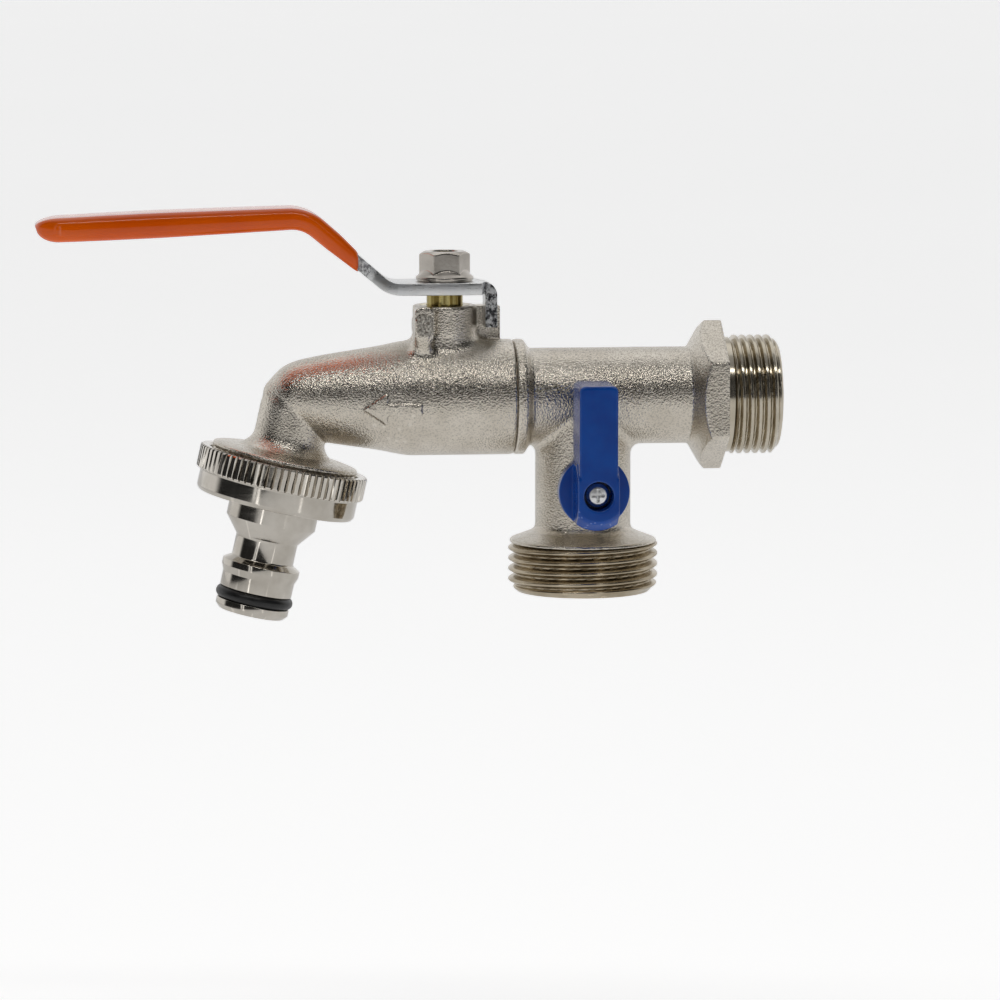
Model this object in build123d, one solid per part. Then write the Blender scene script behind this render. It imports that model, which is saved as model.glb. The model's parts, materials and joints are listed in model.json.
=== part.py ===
from build123d import *
import math
import os

# Double-outlet garden tap. Millimetres. +X points at the wall, +Z up, -Y towards the person using the tap.
# The origin is the centre of the hex's flat wall-side face, where the inlet thread starts.

# --- inlet and tee casting ---
INLET_THREAD_R = 13.22
INLET_CORE_R = 12.06
INLET_PITCH = 1.814
INLET_COLLAR_R = 12.8
INLET_COLLAR_END = 1.6
INLET_RELIEF = 2.15
INLET_END_X = 12.3
INLET_BORE_R = 9.2
INLET_BORE_DEPTH = 14.0
HEX_FLATS = 29.0
HEX_LENGTH = 4.8
HEX_CORNER_R = 16.6
HEX_DRAFT = ((15.2, -5.0), (16.6, -3.95))
TUBE_R = 10.75
TUBE_BORE_R = 8.0
DRAFT_X = -7.6
COLLAR_X = -44.4
COLLAR_BEVEL_X = -43.0
SEAM_X = -46.7
BARREL_R = 12.8
SPIGOT_R = 10.98
SPIGOT_END_X = -52.4
EDGE_BREAK = 0.3
RUNNING_GAP = 0.05
SNUG_GAP = 0.03

# --- branch ---
BRANCH_X = -30.9
BRANCH_R = 10.6
BRANCH_FILLET = 2.0
BRANCH_WEB_R = 5.5
BRANCH_WEB_Z = -11.4
BRANCH_CAVITY_R = 8.5
BRANCH_BALL_Z = -19.0
BRANCH_BALL_R = 8.0
BRANCH_BALL_BORE_R = 5.2
BRANCH_FLARE_Z = -28.4
BRANCH_RIM_Z = -32.6
BRANCH_END_Z = -43.4
BRANCH_MOUTH_R = 11.5
BRANCH_MOUTH_Z = -34.0
OUTLET_THREAD_R = 16.62
OUTLET_CORE_R = 15.15
OUTLET_PITCH = 2.309
BRANCH_FLANGE_R = 16.35
SPOUT_FLANGE_R = 16.3
RETAINER_END_Z = -33.2
RETAINER_SLOT = (2.0, 1.6)
BRANCH_SEAT_FACE = 4.6
BRANCH_SEAT_POCKET = 7.6

# --- branch stem and its boss ---
BOSS2_R = 6.0
BOSS2_FACE = 17.0
STEM2_R = 3.5
STEM2_FLANGE_R = 4.35
STEM2_POCKET = 10.3
STEM2_SQUARE = 5.0
STEM2_END = 24.4
STEM2_FOOT = 8.8
STEM2_FLANGE_TOP = 10.2
STEM2_GROOVES = ((11.6, 12.8), (14.0, 15.2))
STEM2_SQUARE_FROM = 17.9
STEM2_TANG = (6.8, 3.0)
STEM2_TANG_FOOT = 6.25
BALL2_SLOT = 6.1
O_RING_R = 0.5
PEG_HALF_WIDTH = 1.0
PEG_INNER = 4.0
PEG_OUTER = 7.1
PEG_FACE = 19.2

# --- spout casting ---
BALL_X = -61.7
BALL_R = 9.8
BALL_BORE_R = 6.5
CAVITY_R = 10.2
SEAT_POCKET = 9.3
SEAT_FACE = 5.2
PASSAGE_R = 6.0
PASSAGE_END_X = -94.6
SEAL_GROOVE_R = 11.9
SEAL_GROOVE_DEPTH = 1.2
TAPER_START_X = -68.9
NOSE_X = -102.0
NOZZLE_TILT = 12.7
NOZZLE_X = -97.3
NOZZLE_Z = -13.6
LEG_R = 7.9
LEG_TOP = -11.4
ELBOW_S = -13.95
SPOUT_END = 6.0
BOSS_R = 7.1
BOSS_TOP = 20.6
STEM_R = 4.0
STEM_POCKET_R = 5.5
STEM_POCKET_Z = 12.6
STEM_FOOT_Z = 10.5
STEM_FLANGE_Z = 12.0
STEM_GROOVE = (13.7, 14.9)
GROOVE_DEPTH = 1.0
TANG = (4.0, 7.6)
TANG_FOOT_Z = 7.55
BALL_SLOT_Z = 7.4
GLAND_Z = 16.4
PACKING_TOP = 18.55
GLAND_SLOT = (1.4, 1.0)
REAR_LUG_Y = 3.3
REAR_LUG_X = 12.7
REAR_LUG_TOP = 20.0
FRONT_LUG_X = (-7.5, -3.3)
FRONT_LUG_Y = -10.0
FRONT_LUG_TOP = 20.8
LUG_PAD = (3.4, 4.7)
LUG_PAD_Z = 16.2
LUG_PAD_PROUD = 0.4
ARROW_RELIEF = 0.45

# --- main lever ---
STRIP = 2.65
LEVER_Z = 23.15
LEVER_HALF_WIDTH = 7.0
STRAP_HALF_WIDTH = 6.0
TAB_HALF_WIDTH = 3.2
TAB_X = 10.07
TAB_BOTTOM = 15.7
SHOULDERS_X = 7.8
BEND_X = -12.6
KNEE = (-31.1, 40.3)
HANDLE_END = (-87.0, 38.25)
STUD_R = 3.0
STUD_FLATS = 4.6
STUD_TOP = 31.95
NUT_FLATS = 9.8
NUT_HEIGHT = 6.65
NUT_FLANGE_R = 6.4
GRIP_HALF_WIDTH = 7.1

# --- blue lever ---
ARM_HALF_WIDTH = 4.2
HUB_HALF_WIDTH = 4.55
ARM_TOP = 24.0
ARM_BACK = 17.2
ARM_FRONT = 30.0
ARM_WALL = 1.6
DISC_R = 7.8
DISC_BACK = 18.0
DISC_FRONT = 21.5
SKIRT_R = 7.9
RECESS_R = 3.25
RECESS_FLOOR = 25.5
SCREW_R = 1.5
SCREW_END = 19.0
SCREW_HEAD_R = 2.6
WASHER2_TOP = 26.22
HEAD_RISE = 1.95
CROSS = (2.8, 0.6)
CROSS_DEPTH = 1.2

# --- tap connector, measured along the nozzle from the top of its knurled ring ---
KNURL_R = 18.8
KNURL_TEETH = 76
KNURL_DEPTH = 0.5
KNURL_END = 5.2
SKIRT_END = 10.1
SOCKET_FLOOR = 7.8
CONNECTOR_BORE_R = 4.5
WASHER_BORE_R = 7.0
SKIRT_OUTER_R = 17.8
THROAT_R = 10.0
THROAT_END = 14.15
NECK_FROM = 17.95
COLLAR_FROM = 22.65
COLLAR_CREST = (23.65, 25.05)
NIPPLE_R = 8.65
LAND_R = 8.05
LAND_END = 29.75
GROOVE_R = 5.9
GROOVE_END = 32.45
NECK_R = 6.9
TIP_END = 34.85
O_RING_S = 31.1
O_RING_SECTION = 1.35

MAIN = Rot(0, 90, 0)
NOZZLE = Pos(NOZZLE_X, 0, NOZZLE_Z) * Rot(0, 180 + NOZZLE_TILT, 0)
MAIN_STEM = Pos(BALL_X, 0, 0)
BRANCH = Pos(BRANCH_X, 0, 0)
BRANCH_STEM = Pos(BRANCH_X, 0, BRANCH_BALL_Z) * Rot(90, 0, 0)


def turned(*corners):
    """Solid turned about Z from (radius, height) corners."""
    return revolve(make_face(Plane.XZ * Polyline(*corners, close=True)), Axis.Z)


def rod(radius, bottom, top):
    return Pos(0, 0, bottom) * Cylinder(radius, top - bottom, align=(Align.CENTER, Align.CENTER, Align.MIN))


def tube(inner, outer, bottom, top):
    return rod(outer, bottom, top) - rod(inner, bottom, top)


def block(x0, x1, y0, y1, z0, z1):
    return Pos((x0 + x1) / 2, (y0 + y1) / 2, (z0 + z1) / 2) * Box(x1 - x0, y1 - y0, z1 - z0)


def thread_corners(crest_r, core_r, pitch, start, end):
    """Outline of a thread form, as many whole ridges as fit between start and end."""
    crest = pitch / 8
    flank = (pitch - 2 * crest) / 2
    step = math.copysign(1, end - start)
    corners = [(core_r, start)]
    at = start + step * crest
    while abs(end - at) > pitch - crest:
        corners += [
            (core_r, at),
            (crest_r, at + step * flank),
            (crest_r, at + step * (flank + crest)),
            (core_r, at + step * (2 * flank + crest)),
        ]
        at += step * pitch
    return corners + [(core_r, end)]


def seat_ring(side, ball_r, bore_r, cavity_r, face, pocket):
    """Ring with a spherical face that the ball turns against."""
    low, high = sorted((side * face, side * pocket))
    ring = tube(bore_r, cavity_r - SNUG_GAP, low + SNUG_GAP, high - SNUG_GAP)
    return ring - Sphere(ball_r + SNUG_GAP)


def tee_main():
    thread = thread_corners(INLET_THREAD_R, INLET_CORE_R, INLET_PITCH, INLET_RELIEF, INLET_END_X - EDGE_BREAK)
    round_parts = MAIN * turned(
        (0, SPIGOT_END_X),
        (SPIGOT_R - EDGE_BREAK, SPIGOT_END_X),
        (SPIGOT_R, SPIGOT_END_X + EDGE_BREAK),
        (SPIGOT_R, SEAM_X),
        (BARREL_R - EDGE_BREAK, SEAM_X),
        (BARREL_R, SEAM_X + EDGE_BREAK),
        (BARREL_R, COLLAR_X),
        (TUBE_R, COLLAR_BEVEL_X),
        (TUBE_R, -HEX_LENGTH),
        (INLET_COLLAR_R, -HEX_LENGTH),
        (INLET_COLLAR_R, INLET_COLLAR_END),
        (INLET_CORE_R, INLET_COLLAR_END + EDGE_BREAK),
        *thread,
        (INLET_CORE_R - EDGE_BREAK, INLET_END_X),
        (0, INLET_END_X),
    )
    hex_limit = turned(
        (0, DRAFT_X),
        (TUBE_R, DRAFT_X),
        *HEX_DRAFT,
        (HEX_CORNER_R, 0),
        (0, 0),
    )
    hex_bar = Pos(0, 0, DRAFT_X) * extrude(RegularPolygon(HEX_FLATS / 2, 6, major_radius=False), -DRAFT_X)
    return round_parts + MAIN * (hex_bar & hex_limit)


def tee_branch():
    thread = thread_corners(OUTLET_THREAD_R, OUTLET_CORE_R, OUTLET_PITCH, BRANCH_RIM_Z, BRANCH_END_Z + 0.3)
    flare = Spline(
        (BRANCH_R, BRANCH_FLARE_Z),
        (BRANCH_R + 1.6, BRANCH_FLARE_Z - 1.9),
        (BRANCH_FLANGE_R, BRANCH_RIM_Z + 0.7),
        tangents=((0, -1), (1, -0.4)),
    )
    below = Polyline(
        flare @ 1,
        (BRANCH_FLANGE_R, BRANCH_RIM_Z),
        *thread,
        (OUTLET_CORE_R - 0.4, BRANCH_END_Z),
        (0, BRANCH_END_Z),
        (0, 0),
        (BRANCH_R, 0),
        flare @ 0,
    )
    return BRANCH * revolve(make_face(Plane.XZ * (flare + below)), Axis.Z)


def tee_body():
    outside = tee_main() + tee_branch()
    saddle = [
        edge
        for edge in outside.edges().filter_by(GeomType.CIRCLE, reverse=True)
        if abs(edge.center().X - BRANCH_X) < BRANCH_R and edge.bounding_box().max.Z <= EDGE_BREAK
        and edge.bounding_box().min.Z > -TUBE_R - 1
    ]
    outside = fillet(saddle, BRANCH_FILLET)
    outside += BRANCH_STEM * rod(BOSS2_R, 0, BOSS2_FACE)
    outside += Pos(BRANCH_X, 0, BRANCH_BALL_Z) * block(
        -PEG_HALF_WIDTH, PEG_HALF_WIDTH, -PEG_FACE, 0, -PEG_OUTER, -PEG_INNER
    )
    outside -= BRANCH_STEM * rod(STEM2_R + RUNNING_GAP, 0, PEG_FACE)
    outside -= BRANCH_STEM * rod(STEM2_FLANGE_R + 2 * RUNNING_GAP, 0, STEM2_POCKET)
    outside -= MAIN * rod(TUBE_BORE_R, SPIGOT_END_X, INLET_END_X)
    outside -= MAIN * turned(
        (0, INLET_END_X - INLET_BORE_DEPTH),
        (TUBE_BORE_R, INLET_END_X - INLET_BORE_DEPTH),
        (INLET_BORE_R, INLET_END_X - INLET_BORE_DEPTH + 1.2),
        (INLET_BORE_R, INLET_END_X - 1.0),
        (INLET_BORE_R + 1.0, INLET_END_X),
        (0, INLET_END_X),
    )
    outside -= BRANCH * turned(
        (0, 0),
        (BRANCH_WEB_R, 0),
        (BRANCH_WEB_R, BRANCH_WEB_Z),
        (BRANCH_CAVITY_R, BRANCH_WEB_Z),
        (BRANCH_CAVITY_R, BRANCH_MOUTH_Z),
        (BRANCH_MOUTH_R, BRANCH_MOUTH_Z),
        (BRANCH_MOUTH_R, BRANCH_END_Z + 0.8),
        (BRANCH_MOUTH_R + 0.8, BRANCH_END_Z),
        (0, BRANCH_END_Z),
    )
    return outside


def spout_shell():
    """Barrel, tapering cone and rounded nose, turned about the main axis."""
    taper = Spline(
        (BARREL_R, TAPER_START_X),
        (12.45, -72.1),
        (11.7, -75.7),
        (10.95, -80.3),
        (10.1, -86.0),
        (9.0, -92.2),
        (8.15, -95.4),
        (6.75, -98.0),
        (4.0, -100.7),
        (0, NOSE_X),
        tangents=((0, -1), (-1, 0)),
    )
    back = Polyline(
        taper @ 1,
        (0, SEAM_X),
        (BARREL_R - EDGE_BREAK, SEAM_X),
        (BARREL_R, SEAM_X - EDGE_BREAK),
        taper @ 0,
    )
    return MAIN * revolve(make_face(Plane.XZ * (taper + back)), Axis.Z)


def spout_leg():
    """Tilted outlet leg with its flared flange and threaded end."""
    flare = Spline(
        (LEG_R, -5.8),
        (LEG_R + 0.4, -4.0),
        (LEG_R + 1.5, -2.7),
        (SPOUT_FLANGE_R - 0.2, -1.2),
        tangents=((0, 1), (1, 0.23)),
    )
    thread = thread_corners(OUTLET_THREAD_R, OUTLET_CORE_R, OUTLET_PITCH, -0.2, SPOUT_END - 0.4)
    rest = Polyline(
        flare @ 1,
        (SPOUT_FLANGE_R, -1.1),
        (SPOUT_FLANGE_R, -0.2),
        *thread,
        (OUTLET_CORE_R - 0.4, SPOUT_END),
        (0, SPOUT_END),
        (0, LEG_TOP),
        (LEG_R, LEG_TOP),
        flare @ 0,
    )
    leg = revolve(make_face(Plane.XZ * (flare + rest)), Axis.Z)
    return NOZZLE * (leg + Pos(0, 0, LEG_TOP) * Sphere(LEG_R))


def flow_arrow():
    """Raised arrow on the front of the barrel, pointing at the outlet."""
    outline = Polyline(
        (-80.5, -1.5),
        (-75.5, 1.9),
        (-75.5, -0.3),
        (-68.0, -0.3),
        (-68.0, -2.7),
        (-75.5, -2.7),
        (-75.5, -4.9),
        close=True,
    )
    prism = extrude(Plane.XZ * make_face(outline), BARREL_R * 2)
    skin = MAIN * turned(
        (0, -82.0),
        (10.7 + ARROW_RELIEF, -82.0),
        (11.7 + ARROW_RELIEF, -75.7),
        (12.45 + ARROW_RELIEF, -72.1),
        (BARREL_R + ARROW_RELIEF - 0.05, TAPER_START_X),
        (BARREL_R + ARROW_RELIEF, -60.0),
        (0, -60.0),
    )
    return prism & skin


def stop_lugs():
    rear = block(4.0, REAR_LUG_X, REAR_LUG_Y, REAR_LUG_Y + 5.2, 4.0, REAR_LUG_TOP)
    rear = fillet(rear.edges().filter_by(Axis.Z).group_by(Axis.Y)[-1].sort_by(Axis.X)[-1:], 3.0)
    front_side = make_face(
        Polyline(
            (FRONT_LUG_Y, FRONT_LUG_TOP),
            (FRONT_LUG_Y, 13.0),
            (-8.2, 9.6),
            (-4.0, 9.6),
            (-4.0, FRONT_LUG_TOP),
            close=True,
        )
    )
    front = Pos(FRONT_LUG_X[0], 0, 0) * extrude(Plane.YZ * front_side, FRONT_LUG_X[1] - FRONT_LUG_X[0])
    front = fillet(front.edges().filter_by(Axis.Y).group_by(Axis.Z)[-1], 1.3)
    pad_face = Pos(sum(FRONT_LUG_X) / 2 - 0.3, LUG_PAD_Z) * RectangleRounded(*LUG_PAD, LUG_PAD[0] / 2 - 0.2)
    pad = extrude(Plane.XZ * pad_face, -FRONT_LUG_Y + LUG_PAD_PROUD)
    return MAIN_STEM * (rear + front + pad)


def spout_body():
    boss = MAIN_STEM * turned((0, 0), (BOSS_R, 0), (BOSS_R, BOSS_TOP - EDGE_BREAK),
                              (BOSS_R - EDGE_BREAK, BOSS_TOP), (0, BOSS_TOP))
    outside = spout_shell() + spout_leg() + boss + stop_lugs() + flow_arrow()
    outside -= MAIN * turned(
        (0, SEAM_X),
        (SEAL_GROOVE_R, SEAM_X),
        (SEAL_GROOVE_R, SEAM_X - SEAL_GROOVE_DEPTH),
        (SPIGOT_R + SNUG_GAP, SEAM_X - SEAL_GROOVE_DEPTH),
        (SPIGOT_R + SNUG_GAP, SPIGOT_END_X),
        (CAVITY_R, SPIGOT_END_X),
        (CAVITY_R, BALL_X - SEAT_POCKET),
        (PASSAGE_R, BALL_X - SEAT_POCKET),
        (PASSAGE_R, PASSAGE_END_X),
        (0, PASSAGE_END_X),
    )
    outside -= NOZZLE * Pos(0, 0, ELBOW_S) * Sphere(PASSAGE_R)
    outside -= NOZZLE * rod(PASSAGE_R, ELBOW_S, SPOUT_END)
    outside -= MAIN_STEM * rod(STEM_POCKET_R, 0, STEM_POCKET_Z)
    outside -= MAIN_STEM * rod(STEM_R + RUNNING_GAP, 0, BOSS_TOP)
    outside -= MAIN_STEM * rod(STEM_POCKET_R, GLAND_Z, BOSS_TOP)
    return outside


def main_ball():
    ball = Sphere(BALL_R) - MAIN * rod(BALL_BORE_R, -BALL_R, BALL_R)
    half = TANG[0] / 2 + RUNNING_GAP
    return MAIN_STEM * (ball - block(-half, half, -BALL_R, BALL_R, BALL_SLOT_Z, BALL_R))


def main_stem():
    shaft = turned(
        (0, STEM_FOOT_Z),
        (STEM_POCKET_R - 2 * RUNNING_GAP, STEM_FOOT_Z),
        (STEM_POCKET_R - 2 * RUNNING_GAP, STEM_FLANGE_Z),
        (STEM_R, STEM_FLANGE_Z),
        (STEM_R, STEM_GROOVE[0]),
        (STEM_R - GROOVE_DEPTH, STEM_GROOVE[0]),
        (STEM_R - GROOVE_DEPTH, STEM_GROOVE[1]),
        (STEM_R, STEM_GROOVE[1]),
        (STEM_R, LEVER_Z),
        (STUD_R, LEVER_Z),
        (STUD_R, STUD_TOP - 0.5),
        (STUD_R - 0.5, STUD_TOP),
        (0, STUD_TOP),
    )
    for side in (1, -1):
        beside = Pos(0, side * (STUD_FLATS + STEM_R) / 2, LEVER_Z + STRIP / 2)
        shaft -= beside * Box(2 * STEM_R, STEM_R, STRIP)
    tang = block(-TANG[0] / 2, TANG[0] / 2, -TANG[1] / 2, TANG[1] / 2, TANG_FOOT_Z, STEM_FOOT_Z)
    return MAIN_STEM * (shaft + tang)


def main_lever():
    """Pressed strip: stop tab at the right, flat hub, rise, then the long handle."""
    path = FilletPolyline(
        (TAB_X, TAB_BOTTOM),
        (TAB_X, LEVER_Z + STRIP / 2),
        (BEND_X, LEVER_Z + STRIP / 2),
        radius=STRIP * 0.65,
    )
    rise = FilletPolyline(path @ 1, KNEE, HANDLE_END, radius=8.0)
    side = make_face(offset(path + rise, STRIP / 2, side=Side.BOTH))
    strip = extrude(Plane.XZ * side, LEVER_HALF_WIDTH, both=True)
    plan = make_face(
        Polyline(
            (12.0, TAB_HALF_WIDTH),
            (SHOULDERS_X + 0.3, TAB_HALF_WIDTH),
            (SHOULDERS_X, LEVER_HALF_WIDTH),
            (-11.0, LEVER_HALF_WIDTH),
            (-16.0, STRAP_HALF_WIDTH),
            (-82.5, STRAP_HALF_WIDTH),
            (-86.5, STRAP_HALF_WIDTH - 3.5),
            (-86.5, -STRAP_HALF_WIDTH + 3.5),
            (-82.5, -STRAP_HALF_WIDTH),
            (-16.0, -STRAP_HALF_WIDTH),
            (-11.0, -LEVER_HALF_WIDTH),
            (SHOULDERS_X, -LEVER_HALF_WIDTH),
            (SHOULDERS_X + 0.3, -TAB_HALF_WIDTH),
            (12.0, -TAB_HALF_WIDTH),
            close=True,
        )
    )
    strip &= Pos(0, 0, TAB_BOTTOM) * extrude(plan, 30.0)
    hole = rod(STUD_R + 0.05, LEVER_Z - 1, LEVER_Z + STRIP + 1)
    half = STUD_FLATS / 2 + 0.03
    hole &= block(-STEM_R, STEM_R, -half, half, LEVER_Z - 1, LEVER_Z + STRIP + 1)
    return MAIN_STEM * (strip - hole)


def lever_grip(lever):
    """Dipped sleeve over the handle, thicker towards its rounded tip."""
    side = make_face(
        Polyline(
            (-80.9, 32.5),
            (-91.6, 42.65),
            (-145.9, 40.75),
            (-149.9, 40.1),
            (-151.8, 38.8),
            (-151.0, 37.2),
            (-148.6, 35.5),
            (-143.5, 35.35),
            (-93.8, 37.8),
            (-81.3, 28.1),
            close=True,
        )
    )
    side = fillet(side.vertices().filter_by(lambda v: -96 < v.X < -90), 7.0)
    body = extrude(Plane.XZ * side, GRIP_HALF_WIDTH, both=True)
    plan = make_face(
        Polyline(
            (-79.0, 6.6),
            (-96.0, GRIP_HALF_WIDTH),
            (-143.0, GRIP_HALF_WIDTH),
            (-151.8, 2.8),
            (-151.8, -2.8),
            (-143.0, -GRIP_HALF_WIDTH),
            (-96.0, -GRIP_HALF_WIDTH),
            (-79.0, -6.6),
            close=True,
        )
    )
    plan = fillet(plan.vertices().filter_by(lambda v: v.X < -140), 3.5)
    body &= Pos(0, 0, TAB_BOTTOM) * extrude(plan, 40.0)
    return body - lever


def lever_nut():
    hex_bar = extrude(RegularPolygon(NUT_FLATS / 2, 6, major_radius=False), NUT_HEIGHT)
    flat = NUT_FLATS / 2
    dome = turned(
        (0, 0),
        (NUT_FLANGE_R, 0),
        (NUT_FLANGE_R, NUT_HEIGHT - 1.1),
        (flat - 0.4, NUT_HEIGHT),
        (0, NUT_HEIGHT),
    )
    collar = turned(
        (0, 0),
        (NUT_FLANGE_R - 0.4, 0),
        (NUT_FLANGE_R, 0.5),
        (NUT_FLANGE_R, 1.0),
        (flat + 0.7, 1.7),
        (flat, 2.5),
        (0, 2.5),
    )
    nut = (hex_bar & dome) + collar - rod(STUD_R + 0.02, 0, NUT_HEIGHT)
    return MAIN_STEM * Pos(0, 0, LEVER_Z + STRIP) * nut


def main_gland_nut():
    ring = tube(STEM_R + 2 * RUNNING_GAP, STEM_POCKET_R - RUNNING_GAP, PACKING_TOP + RUNNING_GAP, BOSS_TOP)
    half = GLAND_SLOT[0] / 2
    return MAIN_STEM * (ring - block(-half, half, -BOSS_R, BOSS_R, BOSS_TOP - GLAND_SLOT[1], BOSS_TOP))


def branch_ball():
    ball = Sphere(BRANCH_BALL_R) - rod(BRANCH_BALL_BORE_R, -BRANCH_BALL_R, BRANCH_BALL_R)
    half = STEM2_TANG[1] / 2 + RUNNING_GAP
    ball -= block(-BRANCH_BALL_R, BRANCH_BALL_R, -BRANCH_BALL_R, -BALL2_SLOT, -half, half)
    return Pos(BRANCH_X, 0, BRANCH_BALL_Z) * ball


def branch_stem():
    shaft = turned(
        (0, STEM2_FOOT),
        (STEM2_FLANGE_R, STEM2_FOOT),
        (STEM2_FLANGE_R, STEM2_FLANGE_TOP),
        (STEM2_R, STEM2_FLANGE_TOP),
        (STEM2_R, STEM2_SQUARE_FROM),
        (0, STEM2_SQUARE_FROM),
    )
    for bottom, top in STEM2_GROOVES:
        shaft -= tube(STEM2_R - GROOVE_DEPTH, STEM2_R + 1, bottom, top)
    half = STEM2_SQUARE / 2
    shaft += block(-half, half, -half, half, STEM2_SQUARE_FROM, STEM2_END)
    length, width = STEM2_TANG
    shaft += block(-length / 2, length / 2, -width / 2, width / 2, STEM2_TANG_FOOT, STEM2_FOOT)
    return BRANCH_STEM * (shaft - rod(SCREW_R, SCREW_END - 0.1, STEM2_END))


def branch_stem_o_rings():
    ring = Torus(STEM2_R - O_RING_R + 0.02, O_RING_R)
    low, high = (Pos(0, 0, sum(groove) / 2) * ring for groove in STEM2_GROOVES)
    return BRANCH_STEM * (low + high)


def branch_lever():
    """Hollow-backed arm on a round hub, pushed over the square of the stem."""
    disc = rod(DISC_R, DISC_BACK, DISC_FRONT)
    skirt = turned(
        (0, DISC_BACK),
        (SKIRT_R, DISC_BACK),
        (SKIRT_R, ARM_FRONT - 3.6),
        (SKIRT_R - 1.6, ARM_FRONT - 0.9),
        (SKIRT_R - 2.4, ARM_FRONT),
        (0, ARM_FRONT),
    )
    hub = skirt & block(-HUB_HALF_WIDTH, HUB_HALF_WIDTH, -SKIRT_R, SKIRT_R, DISC_BACK, ARM_FRONT)
    arm = block(-ARM_HALF_WIDTH, ARM_HALF_WIDTH, 0, ARM_TOP, ARM_BACK, ARM_FRONT)
    arm = fillet(arm.edges().filter_by(Axis.Z).group_by(Axis.Y)[-1], 1.2)
    arm = fillet(arm.faces().sort_by(Axis.Z)[-1].edges().filter_by(lambda e: e.center().Y > 0.1), 0.5)
    inner = ARM_HALF_WIDTH - ARM_WALL
    arm -= block(-inner, inner, DISC_R, ARM_TOP - ARM_WALL, ARM_BACK, ARM_FRONT - ARM_WALL)
    arm -= block(-ARM_HALF_WIDTH, ARM_HALF_WIDTH, 0, DISC_R, ARM_BACK, DISC_BACK)
    lever = disc + hub + arm
    half = STEM2_SQUARE / 2 + 0.03
    lever -= block(-half, half, -half, half, DISC_BACK, STEM2_END + 0.1)
    lever -= rod(SCREW_R + 0.2, DISC_BACK, ARM_FRONT)
    lever -= rod(RECESS_R, RECESS_FLOOR, ARM_FRONT)
    return BRANCH_STEM * (lever - stop_notch())


def stop_notch():
    """Quarter-turn pocket in the back of the hub that runs over the fixed peg."""
    inner = PEG_INNER - 0.2
    outer = SKIRT_R + 1
    top = PEG_FACE + 0.15
    sweep_ring = tube(inner, outer, DISC_BACK, top)
    quarter = block(0, outer, -outer, 0, DISC_BACK, top)
    margin = PEG_HALF_WIDTH + 0.08
    quarter += block(-margin, margin, -outer, 0, DISC_BACK, top)
    quarter += block(0, outer, -margin, margin, DISC_BACK, top)
    return sweep_ring & quarter


def branch_lever_screw():
    screw = turned(
        (0, SCREW_END),
        (SCREW_R - RUNNING_GAP, SCREW_END),
        (SCREW_R - RUNNING_GAP, WASHER2_TOP + SNUG_GAP),
        (SCREW_HEAD_R, WASHER2_TOP + SNUG_GAP),
        (SCREW_HEAD_R, WASHER2_TOP + HEAD_RISE / 2),
        (SCREW_HEAD_R - 0.7, WASHER2_TOP + HEAD_RISE - 0.2),
        (0, WASHER2_TOP + HEAD_RISE),
    )
    top = WASHER2_TOP + HEAD_RISE + 0.3
    low = top - 0.3 - CROSS_DEPTH
    long, thin = CROSS[0] / 2, CROSS[1] / 2
    cross = block(-long, long, -thin, thin, low, top) + block(-thin, thin, -long, long, low, top)
    return BRANCH_STEM * (screw - cross)


def branch_screw_spring_washer():
    ring = tube(SCREW_R + 0.15, RECESS_R - 0.25, RECESS_FLOOR + SNUG_GAP, WASHER2_TOP)
    return BRANCH_STEM * (ring - block(0, RECESS_R, -0.3, 0.3, RECESS_FLOOR, WASHER2_TOP))


def branch_retainer():
    """Slotted ring screwed in from below to hold the lower seat."""
    bottom, top = RETAINER_END_Z, BRANCH_BALL_Z - BRANCH_SEAT_POCKET
    ring = tube(BRANCH_BALL_BORE_R + 0.3, BRANCH_CAVITY_R - SNUG_GAP, bottom, top)
    width, depth = RETAINER_SLOT
    slot = block(-BRANCH_CAVITY_R, BRANCH_CAVITY_R, -width / 2, width / 2, bottom, bottom + depth)
    return BRANCH * (ring - slot)


def knurled_ring():
    teeth = []
    for tooth in range(KNURL_TEETH):
        for radius, shift in ((KNURL_R - KNURL_DEPTH, 0.0), (KNURL_R, 0.3), (KNURL_R, 0.7)):
            angle = 2 * math.pi * (tooth + shift) / KNURL_TEETH
            teeth.append((radius * math.cos(angle), radius * math.sin(angle)))
    ring = extrude(make_face(Polyline(*teeth, close=True)), KNURL_END)
    edges = turned((0, 0), (KNURL_R - 0.6, 0), (KNURL_R + 0.01, 0.6), (KNURL_R + 0.01, KNURL_END - 0.5),
                   (KNURL_R - 0.5, KNURL_END), (0, KNURL_END))
    return ring & edges


def hose_connector():
    turned_part = turned(
        (0, KNURL_END),
        (SKIRT_OUTER_R, KNURL_END),
        (SKIRT_OUTER_R, SKIRT_END - 1.0),
        (SKIRT_OUTER_R - 0.5, SKIRT_END - 0.25),
        (SKIRT_OUTER_R - 1.2, SKIRT_END),
        (THROAT_R, SKIRT_END),
        (THROAT_R, THROAT_END),
        (THROAT_R - EDGE_BREAK, THROAT_END + EDGE_BREAK),
        (NECK_R, NECK_FROM),
        (NECK_R, COLLAR_FROM),
        (NIPPLE_R, COLLAR_CREST[0]),
        (NIPPLE_R, COLLAR_CREST[1]),
        (LAND_R, COLLAR_CREST[1] + 1.5),
        (LAND_R, LAND_END),
        (GROOVE_R, LAND_END),
        (GROOVE_R, GROOVE_END),
        (LAND_R + 0.1, GROOVE_END),
        (LAND_R + 0.1, TIP_END - 1.0),
        (LAND_R - 0.85, TIP_END),
        (0, TIP_END),
    )
    body = knurled_ring() + turned_part
    body -= rod(OUTLET_THREAD_R + RUNNING_GAP, 0, SPOUT_END)
    body -= rod(OUTLET_CORE_R + 0.3, 0, SOCKET_FLOOR)
    return NOZZLE * (body - rod(CONNECTOR_BORE_R, 0, TIP_END))


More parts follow.
